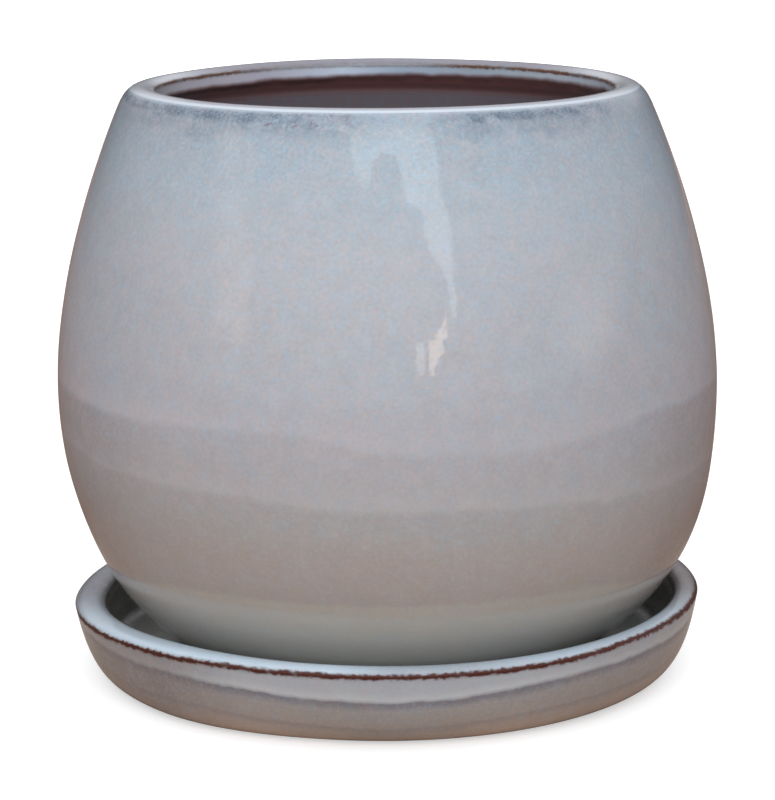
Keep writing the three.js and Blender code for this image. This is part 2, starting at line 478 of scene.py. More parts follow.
def saucer_surface(radius, height, theta):
    """The turned saucer with its waves, a fuller side low down and a rim that isn't quite level."""
    above_foot = smooth_step(height, 0, SAUCER_HEIGHT)
    near_rim = smooth_step(radius, SAUCER_MIDDLE_STAYS_TRUE, SAUCER_RADIUS)
    off_bulge = abs((theta - SAUCER_BULGE_FACES + math.pi) % (2 * math.pi) - math.pi)
    bulge = smooth_step(off_bulge, SAUCER_BULGE_HALF_WIDTH, SAUCER_BULGE_HALF_WIDTH / 3)
    low_down = np.clip(1 - height / SAUCER_HEIGHT, 0, 1) ** 2
    fullness = low_down * smooth_step(radius, 0, SAUCER_MIDDLE_STAYS_TRUE)
    inner_lip = smooth_step(SAUCER_RADIUS - radius, SAUCER_CREST_INSET / 2, SAUCER_WALL)
    inner_lip = inner_lip * smooth_step(height, SAUCER_HEIGHT / 2, SAUCER_HEIGHT - SAUCER_EDGE_DROP)
    radius = radius + SAUCER_BULGE * bulge * fullness
    radius = radius - SAUCER_LIP_SWELL * bulge * inner_lip
    radius = radius + above_foot * SAUCER_WAVE * wave(theta, height, seed=5)
    x = radius * np.cos(theta)
    y = radius * np.sin(theta)
    warp = SAUCER_RIM_TILT * np.cos(theta) + SAUCER_RIM_WARP * np.cos(3 * theta)
    warp = warp + RIM_WAVE * wave(theta, 0 * height, seed=6)
    height = height + above_foot * near_rim * warp
    return x + SAUCER_SHIFT * above_foot, y, height


def added(name, data):
    """A new object in the scene."""
    made = bpy.data.objects.new(name, data)
    bpy.context.scene.collection.objects.link(made)
    return made


def turned(name, points, closed, surface, marks, materials, zones):
    """A mesh turned from a profile.

    surface gives x, y and z for a radius, a height and an angle. marks are named numbers for
    each point of the profile, and zones is the number of the material from each point on.
    """
    count = len(points)
    theta = np.linspace(0, 2 * math.pi, AROUND, endpoint=False)[:, None]
    x, y, z = surface(points[None, :, 0], points[None, :, 1], theta)
    corners = np.stack([x, y, z], 2).reshape(-1, 3) * MM
    rows = np.arange(count if closed else count - 1)
    column, row = np.meshgrid(np.arange(AROUND), rows, indexing="ij")
    here = column * count
    beside = (column + 1) % AROUND * count
    after = (row + 1) % count
    faces = np.stack([here + row, beside + row, beside + after, here + after], 2).reshape(-1, 4)
    mesh = bpy.data.meshes.new(name)
    mesh.from_pydata(corners.tolist(), [], faces.tolist())
    mesh.polygons.foreach_set("use_smooth", np.ones(len(faces), bool))
    mesh.polygons.foreach_set("material_index", zones[row].ravel())
    for mark, values in marks.items():
        layer = mesh.attributes.new(mark, "FLOAT", "POINT")
        layer.data.foreach_set("value", np.tile(values, AROUND).astype(np.float32))
    if not closed:
        merge_at_axis(mesh)
    for made in materials:
        mesh.materials.append(made)
    mesh.update()
    return added(name, mesh)


def merge_at_axis(mesh):
    """Makes one corner of the many that meet where a profile reaches the axis."""
    shape = bmesh.new()
    shape.from_mesh(mesh)
    bmesh.ops.remove_doubles(shape, verts=shape.verts, dist=FINE_STEP * MM / 100)
    shape.to_mesh(mesh)
    shape.free()


def display(red, green, blue):
    """A colour as it should look on a screen, 0 to 255, as the linear colour that a shader takes."""
    def linear(level):
        share = level / 255
        return share / 12.92 if share < 0.04045 else ((share + 0.055) / 1.055) ** 2.4

    return (linear(red), linear(green), linear(blue), 1)


# Smooth noise: its middle, its low and high ends, and the range that holds most of it
NOISE_MIDDLE = 0.5
NOISE_LOW = 0.2
NOISE_HIGH = 0.8
NOISE_MOSTLY = (0.3, 0.7)


class Recipe:
    """The shader nodes of one material. Lengths and places are in millimetres."""

    def __init__(self, tree):
        self.tree = tree
        self.tree.nodes.clear()

    def node(self, kind, inputs, output=0, **settings):
        node = self.tree.nodes.new(kind)
        for name, value in settings.items():
            setattr(node, name, value)
        for name, value in inputs.items():
            if isinstance(value, bpy.types.NodeSocket):
                self.tree.links.new(value, node.inputs[name])
            else:
                node.inputs[name].default_value = value
        return node.outputs[output]

    def chained(self, operation, values):
        total = values[0]
        for value in values[1:]:
            total = self.node("ShaderNodeMath", {0: total, 1: value}, operation=operation)
        return total

    def sum(self, *values):
        return self.chained("ADD", values)

    def times(self, *values):
        return self.chained("MULTIPLY", values)

    def less(self, first, second):
        return self.chained("SUBTRACT", (first, second))

    def size_of(self, value):
        return self.node("ShaderNodeMath", {0: value}, operation="ABSOLUTE")

    def rise(self, value, low, high):
        """0 below low, 1 above high and smooth between them. A low above the high turns it over."""
        ends = {"Value": value, "From Min": low, "From Max": high}
        return self.node("ShaderNodeMapRange", ends, interpolation_type="SMOOTHSTEP")

    def spread(self, value, low, high, to_low, to_high):
        ends = {"Value": value, "From Min": low, "From Max": high, "To Min": to_low, "To Max": to_high}
        return self.node("ShaderNodeMapRange", ends)

    def near(self, value, middle, reach):
        """1 where a value is close to a middle one, and 0 from the reach on."""
        full_within = 0.4 * reach
        return self.rise(self.size_of(self.less(value, middle)), reach, full_within)

    def band(self, value, begins, ends):
        """1 between two pairs of places, of which it rises over the first and falls over the second."""
        return self.times(self.rise(value, *begins), self.rise(value, *ends))

    def mix(self, share, first, second):
        inputs = {0: share, 6: first, 7: second}
        return self.node("ShaderNodeMix", inputs, output=2, data_type="RGBA")

    def tint(self, tone, colour, where, share):
        """A tone that turns to a colour, by a share, where a mask is 1."""
        return self.mix(self.times(where, share), tone, colour)

    def place(self, stretch=(1, 1, 1), shift=(0, 0, 0)):
        """The place on the piece in millimetres, squeezed along each axis by its stretch."""
        here = self.node("ShaderNodeTexCoord", {}, output="Object")
        scale = tuple(1 / (MM * along) for along in stretch)
        moved = {0: here, 1: scale, 2: shift}
        return self.node("ShaderNodeVectorMath", moved, operation="MULTIPLY_ADD")

    def axes(self, vector):
        return self.node("ShaderNodeSeparateXYZ", {"Vector": vector}).node.outputs

    def along(self, axis):
        """The place on the piece along one axis, in millimetres."""
        return self.axes(self.place())[axis]

    def mark(self, name):
        return self.node("ShaderNodeAttribute", {}, output="Fac", attribute_name=name)

    def cloud(self, size, detail=2.0, stretch=(1, 1, 1), shift=(0, 0, 0)):
        """Smooth noise from 0 to 1, with lumps of about the given size."""
        inputs = {
            "Vector": self.place(stretch, shift),
            "Scale": 1 / size,
            "Detail": detail,
            "Roughness": 0.55,
        }
        return self.node("ShaderNodeTexNoise", inputs)

    def drift(self, size, width, **finish):
        """Smooth noise about 0, which strays to either side by less than half the width."""
        return self.times(self.less(self.cloud(size, **finish), NOISE_MIDDLE), width)

    def patches(self, size, low, high, **finish):
        """Patches of noise: 0 where the noise is below low, and 1 where it is above high."""
        return self.rise(self.cloud(size, **finish), low, high)

    def graded(self, value, colours):
        """A colour for each value, from a list of values and colours."""
        low = colours[0][0]
        high = colours[-1][0]
        share = self.spread(value, low, high, 0, 1)
        colour = self.node("ShaderNodeValToRGB", {"Fac": share})
        stops = colour.node.color_ramp.elements
        stops[0].position = 0
        stops[0].color = colours[0][1]
        stops[1].position = 1
        stops[1].color = colours[-1][1]
        for level, shade in colours[1:-1]:
            stops.new((level - low) / (high - low)).color = shade
        return colour

    def bump(self, height, depth, under=None):
        """A bump of the given depth, in millimetres, over another."""
        inputs = {"Height": height, "Distance": depth * MM, "Strength": 1}
        if under is not None:
            inputs["Normal"] = under
        return self.node("ShaderNodeBump", inputs)

    def surface(self, colour, roughness, normal):
        inputs = {"Base Color": colour, "Roughness": roughness, "Normal": normal}
        shader = self.node("ShaderNodeBsdfPrincipled", inputs)
        self.output("ShaderNodeOutputMaterial", shader)

    def output(self, kind, shader):
        end = self.tree.nodes.new(kind)
        self.tree.links.new(shader, end.inputs["Surface"])


def material(name):
    made = bpy.data.materials.new(name)
    made.use_nodes = True
    return made, Recipe(made.node_tree)


# Colours of the pot's glaze, by height above the floor
POT_TONES = [
    (40, display(170, 162, 156)),
    (62, display(178, 169, 163)),
    (73, display(175, 175, 174)),
    (91, display(175, 175, 179)),
    (106, display(171, 172, 177)),
    (128, display(168, 171, 176)),
    (152, display(167, 171, 177)),
    (170, display(158, 170, 179)),
    (184, display(150, 164, 174)),
    (193, display(146, 156, 165)),
]

# Colours of the throat's pale glaze with a painted highlight that is brightest left of the middle, by
# distance across from the middle, left to right
THROAT_TONES_WITH_HIGHLIGHT = [
    (-60, display(182, 177, 187)),
    (-42, display(179, 175, 190)),
    (-15, display(195, 207, 224)),
    (5, display(156, 172, 191)),
    (30, display(149, 161, 175)),
    (60, display(176, 184, 196)),
]

# The saucer's glaze flows down in two steps, a pale one over a browner one. The line under each
# has the height of its edge and a darkness.
FLOW_EDGE = 17.4
FLOW_LINES = [(FLOW_EDGE, 0.8), (8.2, 0.3)]
FLOW_CLIMB = 0.0425
FLOW_SLANT = 0.0055
FLOW_SAG = 0.7
SAUCER_TONES = [
    # The two palest colours, at the foot, are painted light against the shade near the floor
    (-6, display(244, 218, 200)),
    (0, display(230, 204, 186)),
    (4, display(178, 161, 149)),
    (8, display(154, 144, 137)),
    (13, display(147, 141, 137)),
    (FLOW_EDGE - 0.4, display(147, 146, 149)),
    (FLOW_EDGE + 0.8, display(182, 186, 190)),
    (20.5, display(166, 170, 176)),
    (25, display(158, 162, 169)),
]

# Places are in millimetres. A pair of them is where a thing is absent and where it is full,
# but where its name ends with AROUND it is the middle and the reach of the thing.

# Edges on the pot's glaze, of its painted reflection of the saucer's rim and of the painted shade low on
# its sides, by height above the floor
UPPER_DIP = 100.5
LOWER_DIP = 77.8
RIM_REFLECTION_EDGE = 46.5
SIDE_SHADE_BELOW = (66, 44)
GRAIN_GROWS = (50, 110)

# How those edges run across the pot, where its glaze changes towards the sides, and where painted shade
# darkens the sides
UPPER_SAG = 6
UPPER_SAG_AROUND = (28, 60)
UPPER_ROLL_GROWS = (-25, -60)
LOWER_DIP_SLANT = 0.04
RIM_REFLECTION_SAG = 6
RIM_REFLECTION_SAG_SIDES = (62, 92)
DIP_SIDES = (65, 95)
SIDE_SHADE_ACROSS = (72, 96)

# The lip, across and towards the back
LIP_ENDS = (56, 74)
LIP_BEHIND = (30, 62)

# The lip and the throat, past the inner edge. What lies on the crest's side of it is below 0.
CREST_EDGE = -8.8
CREST_ROLL_BEGINS = (CREST_EDGE - 0.3, CREST_EDGE + 0.2)
CREST_ROLL_ENDS = (-7, -8)
CREST_THIN_BEGINS = (-9, -6.5)
CREST_THIN_ENDS = (0, -1)
THROAT_BEGINS = (0, 1)
THROAT_ENDS = (2.3, 4.5)
UNDER_LIP_SHADE_ENDS = (7.5, 4.5)
INSIDE_REDDENS = (14, 8.5)
WASH_SLANT = 0.008

# The specks, below the crest and across
SPECKS_BEGIN = (0.2, 1.6)
SPECK_LINE_AROUND = (2.2, 3)
SPECK_LINE_GAP = (12, 34)
SPECK_LINE_GAP_LEFT = 4
SPECK_LINE_RIGHT_END = (80, 56)
SPECK_CLOUDS_AROUND = [(-42, 52), (42, 34)]
SPECK_CLOUDS_FADE = (12, 3)
DOTS_AROUND = (-26, 20)
DOTS_FADE = (7, 4.5)
SHOULDER_GRAIN_FADES = (45, 5)

# The saucer, across, towards the back and, for the low painted shade, by height: where painted shade
# darkens its sides and painted light brightens its lip
FLOW_SAG_AROUND = (6, 24)
SIDE_SHADE_LEFT = (-40, -75)
SIDE_SHADE_RIGHT = (35, 75)
LOW_SHADE_SIDES = (20, 60)
LOW_SHADE_BELOW = (7, 0)
LIT_LEFT = (4, -20)
LIT_RIGHT = (20, 44)
LIT_FRONT = (10, -48)
FAR_RIGHT = (50, 90)
BACK_BEGINS = (-38, 6)
BACK_SOONER_AT_RIGHT = 12

# The saucer's lip, past its outer edge
SAUCER_LIP_BEGINS = (0, 1.5)
INNER_LIP_BEGINS = (5.5, 8)
POOL_BEGINS = (7, 13)

# The brown lines where glaze runs off an edge
POT_LINE_WIDTH = 0.7
POT_LINE_FAINT_AROUND = (-14, 42)
SAUCER_LINE_WIDTH = 1.0
SAUCER_LINE_SHIFT_RIGHT = 0.9
SAUCER_LINE_RIGHT_AROUND = (95, 42)
SAUCER_LINE_SHIFT_LEFT = 0.4
SAUCER_LINE_LEFT_AROUND = (-90, 42)

# Grain of the glaze: the size of its flecks and how strongly each size shows
COLOUR_FLECKS = [(1.4, 0.55), (4.5, 0.28), (26, 0.16)]
GREY_FLECKS = [(1.3, 0.18), (6, 0.12)]
GREY_FLECKS_SHIFT = 17

# Roughness, from and to, and how much rougher the glaze is on its brown lines and in the saucer
GLAZE_ROUGHNESS = (0.03, 0.06)
INSIDE_ROUGHNESS = (0.35, 0.6)
CLAY_ROUGHNESS = (0.75, 0.95)
LINE_ROUGHNESS = 0.5
POOL_ROUGHNESS = 0.2

PINK = display(190, 172, 176)
BLUE = display(158, 182, 206)
GRAIN = display(130, 133, 140)
PALE_GRAIN = display(204, 204, 208)
DIP_ROLL = display(190, 185, 190)
DIP_SHADE = display(128, 118, 116)
# Painted reflection of the saucer's rim on the pot's lower body, paler towards the foot as painted light
RIM_REFLECTION_GREEN = display(179, 178, 166)
FOOT_REFLECTION_LIGHT = display(180, 183, 179)
# Painted shade for the lower sides of the pot
SIDE_PAINTED_SHADE = display(122, 92, 78)
# Pale glaze of the crest's roll, made brighter as a painted highlight
CREST_ROLL_HIGHLIGHT = display(206, 214, 222)
CREST_THIN = display(154, 149, 156)
# Painted light towards the ends of the crest
CREST_END_PAINTED_LIGHT = display(198, 196, 200)
CREST_BACK = display(106, 94, 102)
SPECKLE = display(84, 98, 114)
PURPLE = display(110, 84, 104)
POT_LINE = display(84, 54, 38)
SAUCER_LINE = display(66, 20, 5)
GREY_LINE = display(88, 84, 86)
WARM_EDGE = display(112, 94, 92)
FLOW_LINE = display(102, 100, 109)
# Painted shade for the sides of the saucer
SAUCER_SIDE_SHADE = display(112, 100, 98)
POOL = display(112, 112, 100)
# Painted light on the front of the saucer's lip
SAUCER_LIP_PAINTED_LIGHT = display(182, 198, 210)
SAUCER_LIP_MIDDLE = display(154, 164, 173)
SAUCER_LIP_BACK = display(126, 127, 135)
SAUCER_LIP_BACK_RIGHT = display(124, 114, 112)
SAUCER_INNER_LIP = display(122, 120, 124)
INSIDE_DARK = display(110, 107, 116)
INSIDE_RED = display(118, 92, 88)
INSIDE_UPPER = display(142, 94, 90)
# Painted shade under the pot's lip
UNDER_LIP_SHADE = display(44, 33, 34)
CLAY = display(138, 98, 72)
CLAY_DARK = display(96, 66, 50)
CLAY_GRIT = display(176, 146, 118)

# Colours of the room. The floor is darker farther from the pot, where the glaze reflects it.
FLOOR_WHITE = (0.62, 0.62, 0.62, 1)
FLOOR_NEAR = display(172, 154, 140)
FLOOR_FAR = display(121, 98, 87)
FLOOR_DARKENS = (115, 230)
ROOM_SIDE = (0.1, 0.1, 0.1, 1)
ROOM_FRONT = (0.5, 0.5, 0.5, 1)
SKY_BEHIND = (0.54, 0.525, 0.54, 1)
SKY_AHEAD = (0.78, 0.82, 0.87, 1)
SKY_ABOVE = (1.25, 1.32, 1.4, 1)
LEFT_WALL = (1.5, 1.25, 1.1, 1)
RIGHT_WALL = (1.1, 0.95, 0.9, 1)
WINDOW_BLUE = (0.82, 0.95, 1.0, 1)
CREAM = (1.0, 0.78, 0.6, 1)
PALE = (1.0, 0.96, 0.88, 1)
WHITE = (1, 1, 1, 1)


def flecked(recipe, tone, spots, share, strength, low, high):
    """One colour where the spots are low, another where they are high and the tone between."""
    above = recipe.times(recipe.spread(spots, NOISE_MIDDLE, NOISE_HIGH, 0, share), strength)
    below = recipe.times(recipe.spread(spots, NOISE_MIDDLE, NOISE_LOW, 0, share), strength)
    return recipe.mix(below, recipe.mix(above, tone, high), low)


def mottled(recipe, tone, strength, shift):
    """A glaze's grain: bluish and pinkish flecks, then darker and paler ones, in several sizes."""
    for size, share in COLOUR_FLECKS:
        spots = recipe.cloud(size, detail=3, shift=shift)
        tone = flecked(recipe, tone, spots, share, strength, BLUE, PINK)
    for size, share in GREY_FLECKS:
        spots = recipe.cloud(size, detail=3, shift=(shift[1], shift[2], GREY_FLECKS_SHIFT))
        tone = flecked(recipe, tone, spots, share, strength, GRAIN, PALE_GRAIN)
    return tone


def orange_peel(recipe, shift):
    """The skin of a fired glaze: long soft swells, the rings from the wheel and fine dimples."""
    swell = recipe.bump(recipe.cloud(size=9, shift=shift), depth=0.05)
    rings = recipe.bump(recipe.cloud(size=4, stretch=(9, 9, 1), shift=shift), depth=0.03, under=swell)
    return recipe.bump(recipe.cloud(size=1.3, shift=shift), depth=0.01, under=rings)


def glossy(recipe, line, shift=(0, 0, 0)):
    """The roughness of glaze, a little uneven and rougher on a brown line."""
    unevenness = recipe.cloud(size=3, detail=3, shift=shift)
    smooth = recipe.spread(unevenness, *NOISE_MOSTLY, *GLAZE_ROUGHNESS)
    return recipe.sum(smooth, recipe.times(line, LINE_ROUGHNESS))


def broken_edge(recipe, tone, distance, width, clay, gaps, halo_share, strength, shift):
    """The line where a glaze runs off an edge: brown clay in beads and stretches, and grey between.

    Gives the new colour and how much of the line shows.
    """
    beads = recipe.cloud(size=1.7, detail=1, shift=shift)
    width_here = recipe.spread(beads, 0.35, 0.65, 0.6 * width, 1.15 * width)
    straying = recipe.sum(distance, recipe.drift(size=5, width=width, detail=2, shift=shift))
    away = recipe.size_of(straying)
    line = recipe.rise(recipe.less(away, width_here), 0.45 * width, -0.5 * width)
    line = recipe.times(line, strength)
    brown = recipe.patches(size=8, low=gaps - 0.07, high=gaps + 0.07, detail=3, shift=shift)
    halo = recipe.rise(away, 2.2 * width, 0.8 * width)
    tone = recipe.tint(tone, WARM_EDGE, halo, halo_share)
    return recipe.mix(line, tone, recipe.mix(brown, GREY_LINE, clay)), line


def speckled(recipe, tone, below_crest):
    """The specks that gather in a line and in clouds below the crest of the lip."""
    across = recipe.along("X")
    outside = recipe.rise(below_crest, *SPECKS_BEGIN)
    blotches = recipe.patches(size=3.5, low=0.36, high=0.66, detail=4, stretch=(1.6, 1.6, 1))
    specks = recipe.patches(size=0.9, low=0.35, high=0.65, detail=4)

    # A dark line just below the crest, which fades out near the middle and at the right end
    from_gap = recipe.size_of(recipe.sum(across, SPECK_LINE_GAP_LEFT))
    shown = recipe.times(outside, recipe.rise(from_gap, *SPECK_LINE_GAP))
    shown = recipe.times(shown, recipe.rise(across, *SPECK_LINE_RIGHT_END))
    level = recipe.sum(below_crest, recipe.drift(size=9, width=7, detail=3))
    line = recipe.times(recipe.near(level, *SPECK_LINE_AROUND), shown)
    line = recipe.times(line, recipe.spread(blotches, 0, 1, 0.3, 0.8))
    tone = recipe.tint(tone, SPECKLE, line, recipe.spread(specks, 0, 1, 0.55, 1.2))

    # Two clouds of specks that reach farther down
    clouds = recipe.sum(*(recipe.near(across, *around) for around in SPECK_CLOUDS_AROUND))
    level = recipe.sum(below_crest, recipe.drift(size=9, width=14, detail=3))
    gathered = recipe.times(recipe.rise(level, *SPECK_CLOUDS_FADE), outside, clouds)
    tone = recipe.tint(tone, SPECKLE, gathered, recipe.spread(blotches, 0, 1, 0.12, 0.42))
    tone = recipe.tint(tone, SPECKLE, recipe.times(gathered, specks), 0.3)

    # A few purple dots left of the middle
    dots = recipe.patches(size=2.6, low=0.56, high=0.68, detail=2, shift=(31, 7, 3))
    dotted = recipe.times(recipe.rise(below_crest, *DOTS_FADE), outside)
    dotted = recipe.times(dotted, recipe.near(across, *DOTS_AROUND), dots)
    tone = recipe.tint(tone, PURPLE, dotted, 0.7)

    # Fine grain all round the shoulder
    grain = recipe.patches(size=1.2, low=0.45, high=0.75, detail=4, shift=(11, 0, 0))
    grainy = recipe.times(recipe.rise(below_crest, *SHOULDER_GRAIN_FADES), grain)
    return recipe.tint(tone, SPECKLE, grainy, 0.15)


def lip_tones(recipe, tone, past_edge):
    """A pale roll of glaze round the crest with a painted highlight on it, thin mauve glaze inside it,
    paler towards the ends as painted light and darker at the back, and the throat's pale glaze with a
    painted highlight.
    """
    across = recipe.along("X")
    ends = recipe.rise(recipe.size_of(across), *LIP_ENDS)
    behind = recipe.rise(recipe.along("Y"), *LIP_BEHIND)
    # Paler towards the ends as painted light, and darker at the back
    thin_tone = recipe.mix(behind, recipe.mix(ends, CREST_THIN, CREST_END_PAINTED_LIGHT), CREST_BACK)
    thin = recipe.band(past_edge, CREST_THIN_BEGINS, CREST_THIN_ENDS)
    tone = recipe.tint(tone, thin_tone, thin, 0.7)
    # A pale roll of glaze round the crest, brightened as a painted highlight
    roll = recipe.band(past_edge, CREST_ROLL_BEGINS, CREST_ROLL_ENDS)
    tone = recipe.tint(tone, CREST_ROLL_HIGHLIGHT, roll, 0.6)
    # The throat's pale glaze, with a painted highlight
    throat = recipe.rise(past_edge, *THROAT_BEGINS)
    return recipe.tint(tone, recipe.graded(across, THROAT_TONES_WITH_HIGHLIGHT), throat, 0.8)


def dip_edge(recipe, tone, level, edge, roll_share, thin_share):
    """The edge of a dip of glaze: a paler roll above it and a thinner coat below."""
    roll = recipe.band(level, (edge, edge + 2), (edge + 9, edge + 1))
    tone = recipe.tint(tone, DIP_ROLL, roll, roll_share)
    below = recipe.rise(level, edge + 1.6, edge - 1.6)
    return recipe.tint(tone, DIP_SHADE, below, thin_share)


def banded(recipe, tone, height):
    """The soft edges of two dips of glaze, painted shade low on the sides, and a painted reflection of
    the saucer's rim: a greenish edge with paler colour below it, made paler towards the foot as painted
    light.
    """
    across = recipe.along("X")
    off_middle = recipe.size_of(across)
    wander = recipe.drift(size=40, width=5, detail=1, shift=(3, 50, 0))
    flutter = recipe.drift(size=5, width=1.6, detail=2)
    wandering = recipe.sum(height, wander, flutter)
    sides = recipe.rise(off_middle, *DIP_SIDES)

    sag = recipe.times(recipe.near(across, *UPPER_SAG_AROUND), UPPER_SAG)
    upper_roll = recipe.spread(across, *UPPER_ROLL_GROWS, 0.12, 0.4)
    upper_thin = recipe.spread(sides, 0, 1, 0.16, 0.38)
    tone = dip_edge(recipe, tone, recipe.sum(wandering, sag), UPPER_DIP, upper_roll, upper_thin)

    slant = recipe.times(across, LOWER_DIP_SLANT)
    lower_thin = recipe.spread(sides, 0, 1, 0.16, 0)
    tone = dip_edge(recipe, tone, recipe.sum(wandering, slant), LOWER_DIP, 0.25, lower_thin)

    # Painted shade low on the sides of the pot, where they turn away from the light
    thin = recipe.times(recipe.rise(off_middle, *SIDE_SHADE_ACROSS), recipe.rise(height, *SIDE_SHADE_BELOW))
    tone = recipe.tint(tone, SIDE_PAINTED_SHADE, thin, 0.5)
    # A greenish edge that follows the saucer's rim, with paler colour below it: a painted reflection of
    # the rim, made paler towards the foot as painted light
    sag = recipe.times(recipe.rise(off_middle, *RIM_REFLECTION_SAG_SIDES), RIM_REFLECTION_SAG)
    low = recipe.sum(height, sag)
    rim_reflection = recipe.rise(recipe.sum(low, flutter), RIM_REFLECTION_EDGE + 1.2, RIM_REFLECTION_EDGE - 1.2)
    tone = recipe.tint(tone, RIM_REFLECTION_GREEN, rim_reflection, 0.45)
    return recipe.tint(tone, FOOT_REFLECTION_LIGHT, recipe.rise(low, RIM_REFLECTION_EDGE, RIM_REFLECTION_EDGE - 14), 0.9)


def inside_tone(recipe, past_edge):
    """Thin dark glaze over brown clay, redder at the top, with smears that run down."""
    smears = recipe.patches(size=2.5, low=0.3, high=0.75, detail=3, stretch=(1, 1, 5))
    tone = recipe.tint(INSIDE_DARK, INSIDE_RED, smears, 0.4)
    return recipe.tint(tone, INSIDE_UPPER, recipe.rise(past_edge, *INSIDE_REDDENS), 0.9)


def throat_end(recipe, tone, past_edge):
    """The edge at which the throat's pale glaze ends over the inside, with painted shade under the lip
    just below it.
    """
    slant = recipe.times(recipe.along("X"), WASH_SLANT)
    deep = recipe.sum(past_edge, recipe.drift(size=12, width=2), slant)
    ended = recipe.rise(deep, *THROAT_ENDS)
    tone = recipe.mix(ended, tone, inside_tone(recipe, past_edge))
    # Painted shade just below the throat, under the lip
    under_lip_shade = recipe.times(ended, recipe.rise(deep, *UNDER_LIP_SHADE_ENDS))
    return recipe.tint(tone, UNDER_LIP_SHADE, under_lip_shade, 0.85)


def pot_glaze():
    made, recipe = material("pot_glaze")
    height = recipe.along("Z")
    past_edge = recipe.mark("past_edge")
    wander = recipe.drift(size=70, width=20)
    flutter = recipe.drift(size=14, width=6, stretch=(2, 2, 1))
    tone = recipe.graded(recipe.sum(height, wander, flutter), POT_TONES)
    tone = banded(recipe, tone, height)
    grain_strength = recipe.spread(height, *GRAIN_GROWS, 0.5, 1)
    tone = mottled(recipe, tone, grain_strength, shift=(0, 0, 0))
    tone = speckled(recipe, tone, recipe.less(CREST_EDGE, past_edge))
    tone = lip_tones(recipe, tone, past_edge)
    faint = recipe.near(recipe.along("X"), *POT_LINE_FAINT_AROUND)
    strength = recipe.spread(faint, 0, 1, 1, 0.35)
    tone, line = broken_edge(
        recipe, tone, past_edge, POT_LINE_WIDTH, POT_LINE,
        gaps=0.45, halo_share=0.3, strength=strength, shift=(5, 5, 5),
    )
    tone = throat_end(recipe, tone, past_edge)
    recipe.surface(tone, glossy(recipe, line), orange_peel(recipe, (0, 0, 0)))
    return made


def pot_inside():
    made, recipe = material("pot_inside")
    unevenness = recipe.cloud(size=6, detail=4)
    roughness = recipe.spread(unevenness, *NOISE_MOSTLY, *INSIDE_ROUGHNESS)
    skin = orange_peel(recipe, (9, 0, 0))
    grain = recipe.bump(recipe.cloud(size=0.8, detail=3), depth=0.03, under=skin)
    recipe.surface(inside_tone(recipe, recipe.mark("past_edge")), roughness, grain)
    return made


def flow_level(recipe, across, shift):
    """The height on the saucer, less by as much as the flows of glaze end higher towards the sides."""
    wander = recipe.drift(size=30, width=2, detail=1, shift=shift)
    flutter = recipe.drift(size=6, width=1.5, shift=shift)
    sag = recipe.times(recipe.near(across, *FLOW_SAG_AROUND), FLOW_SAG)
    climb = recipe.times(recipe.size_of(across), FLOW_CLIMB)
    slant = recipe.times(across, FLOW_SLANT)
    return recipe.less(recipe.sum(recipe.along("Z"), sag, wander, flutter), recipe.sum(climb, slant))


def saucer_outside(recipe, across, level, outside):
    """Two flows of glaze with dark lines under their edges, and painted shade at the sides, stronger on
    the left, and low on both sides.
    """
    tone = recipe.graded(level, SAUCER_TONES)
    for edge, darkness in FLOW_LINES:
        line = recipe.band(recipe.less(edge, level), (0, 0.8), (4, 0.8))
        tone = recipe.tint(tone, FLOW_LINE, recipe.times(line, outside), darkness)
    # Painted shade at the sides, stronger on the left
    left = recipe.rise(across, *SIDE_SHADE_LEFT)
    right = recipe.times(recipe.rise(across, *SIDE_SHADE_RIGHT), 0.3)
    sides = recipe.times(recipe.sum(left, right), outside)
    tone = recipe.tint(tone, SAUCER_SIDE_SHADE, sides, 0.6)
    # Painted shade low on both sides
    low_sides = recipe.rise(recipe.size_of(across), *LOW_SHADE_SIDES)
    low_sides = recipe.times(low_sides, recipe.rise(level, *LOW_SHADE_BELOW))
    return recipe.tint(tone, SAUCER_SIDE_SHADE, low_sides, 0.3)


def saucer_lip(recipe, tone, across, past_edge, from_line):
    """The lip: painted light at the front left and right, greyer glaze in the middle of the front, and
    darker at the back, browner at the back right.
    """
    back = recipe.along("Y")
    # Painted light on the lip's top, at the front left and right
    left = recipe.rise(across, *LIT_LEFT)
    right = recipe.times(recipe.rise(across, *LIT_RIGHT), 0.5)
    lit = recipe.times(recipe.sum(left, right), recipe.rise(back, *LIT_FRONT))
    lip = recipe.mix(lit, SAUCER_LIP_MIDDLE, SAUCER_LIP_PAINTED_LIGHT)
    far_right = recipe.rise(across, *FAR_RIGHT)
    sooner = recipe.times(far_right, BACK_SOONER_AT_RIGHT)
    behind = recipe.rise(recipe.sum(back, sooner), *BACK_BEGINS)
    lip = recipe.mix(behind, lip, recipe.mix(far_right, SAUCER_LIP_BACK, SAUCER_LIP_BACK_RIGHT))
    inner_lip = recipe.mix(recipe.times(behind, far_right), SAUCER_INNER_LIP, SAUCER_LIP_BACK_RIGHT)
    tone = recipe.mix(recipe.rise(from_line, *SAUCER_LIP_BEGINS), tone, lip)
    return recipe.tint(tone, inner_lip, recipe.rise(past_edge, *INNER_LIP_BEGINS), 0.8)


def saucer_line_place(recipe, across, past_edge):
    """The distance past the saucer's brown line, which strays from the edge at both sides."""
    right = recipe.times(recipe.near(across, *SAUCER_LINE_RIGHT_AROUND), SAUCER_LINE_SHIFT_RIGHT)
    left = recipe.times(recipe.near(across, *SAUCER_LINE_LEFT_AROUND), SAUCER_LINE_SHIFT_LEFT)
    return recipe.less(past_edge, recipe.less(right, left))


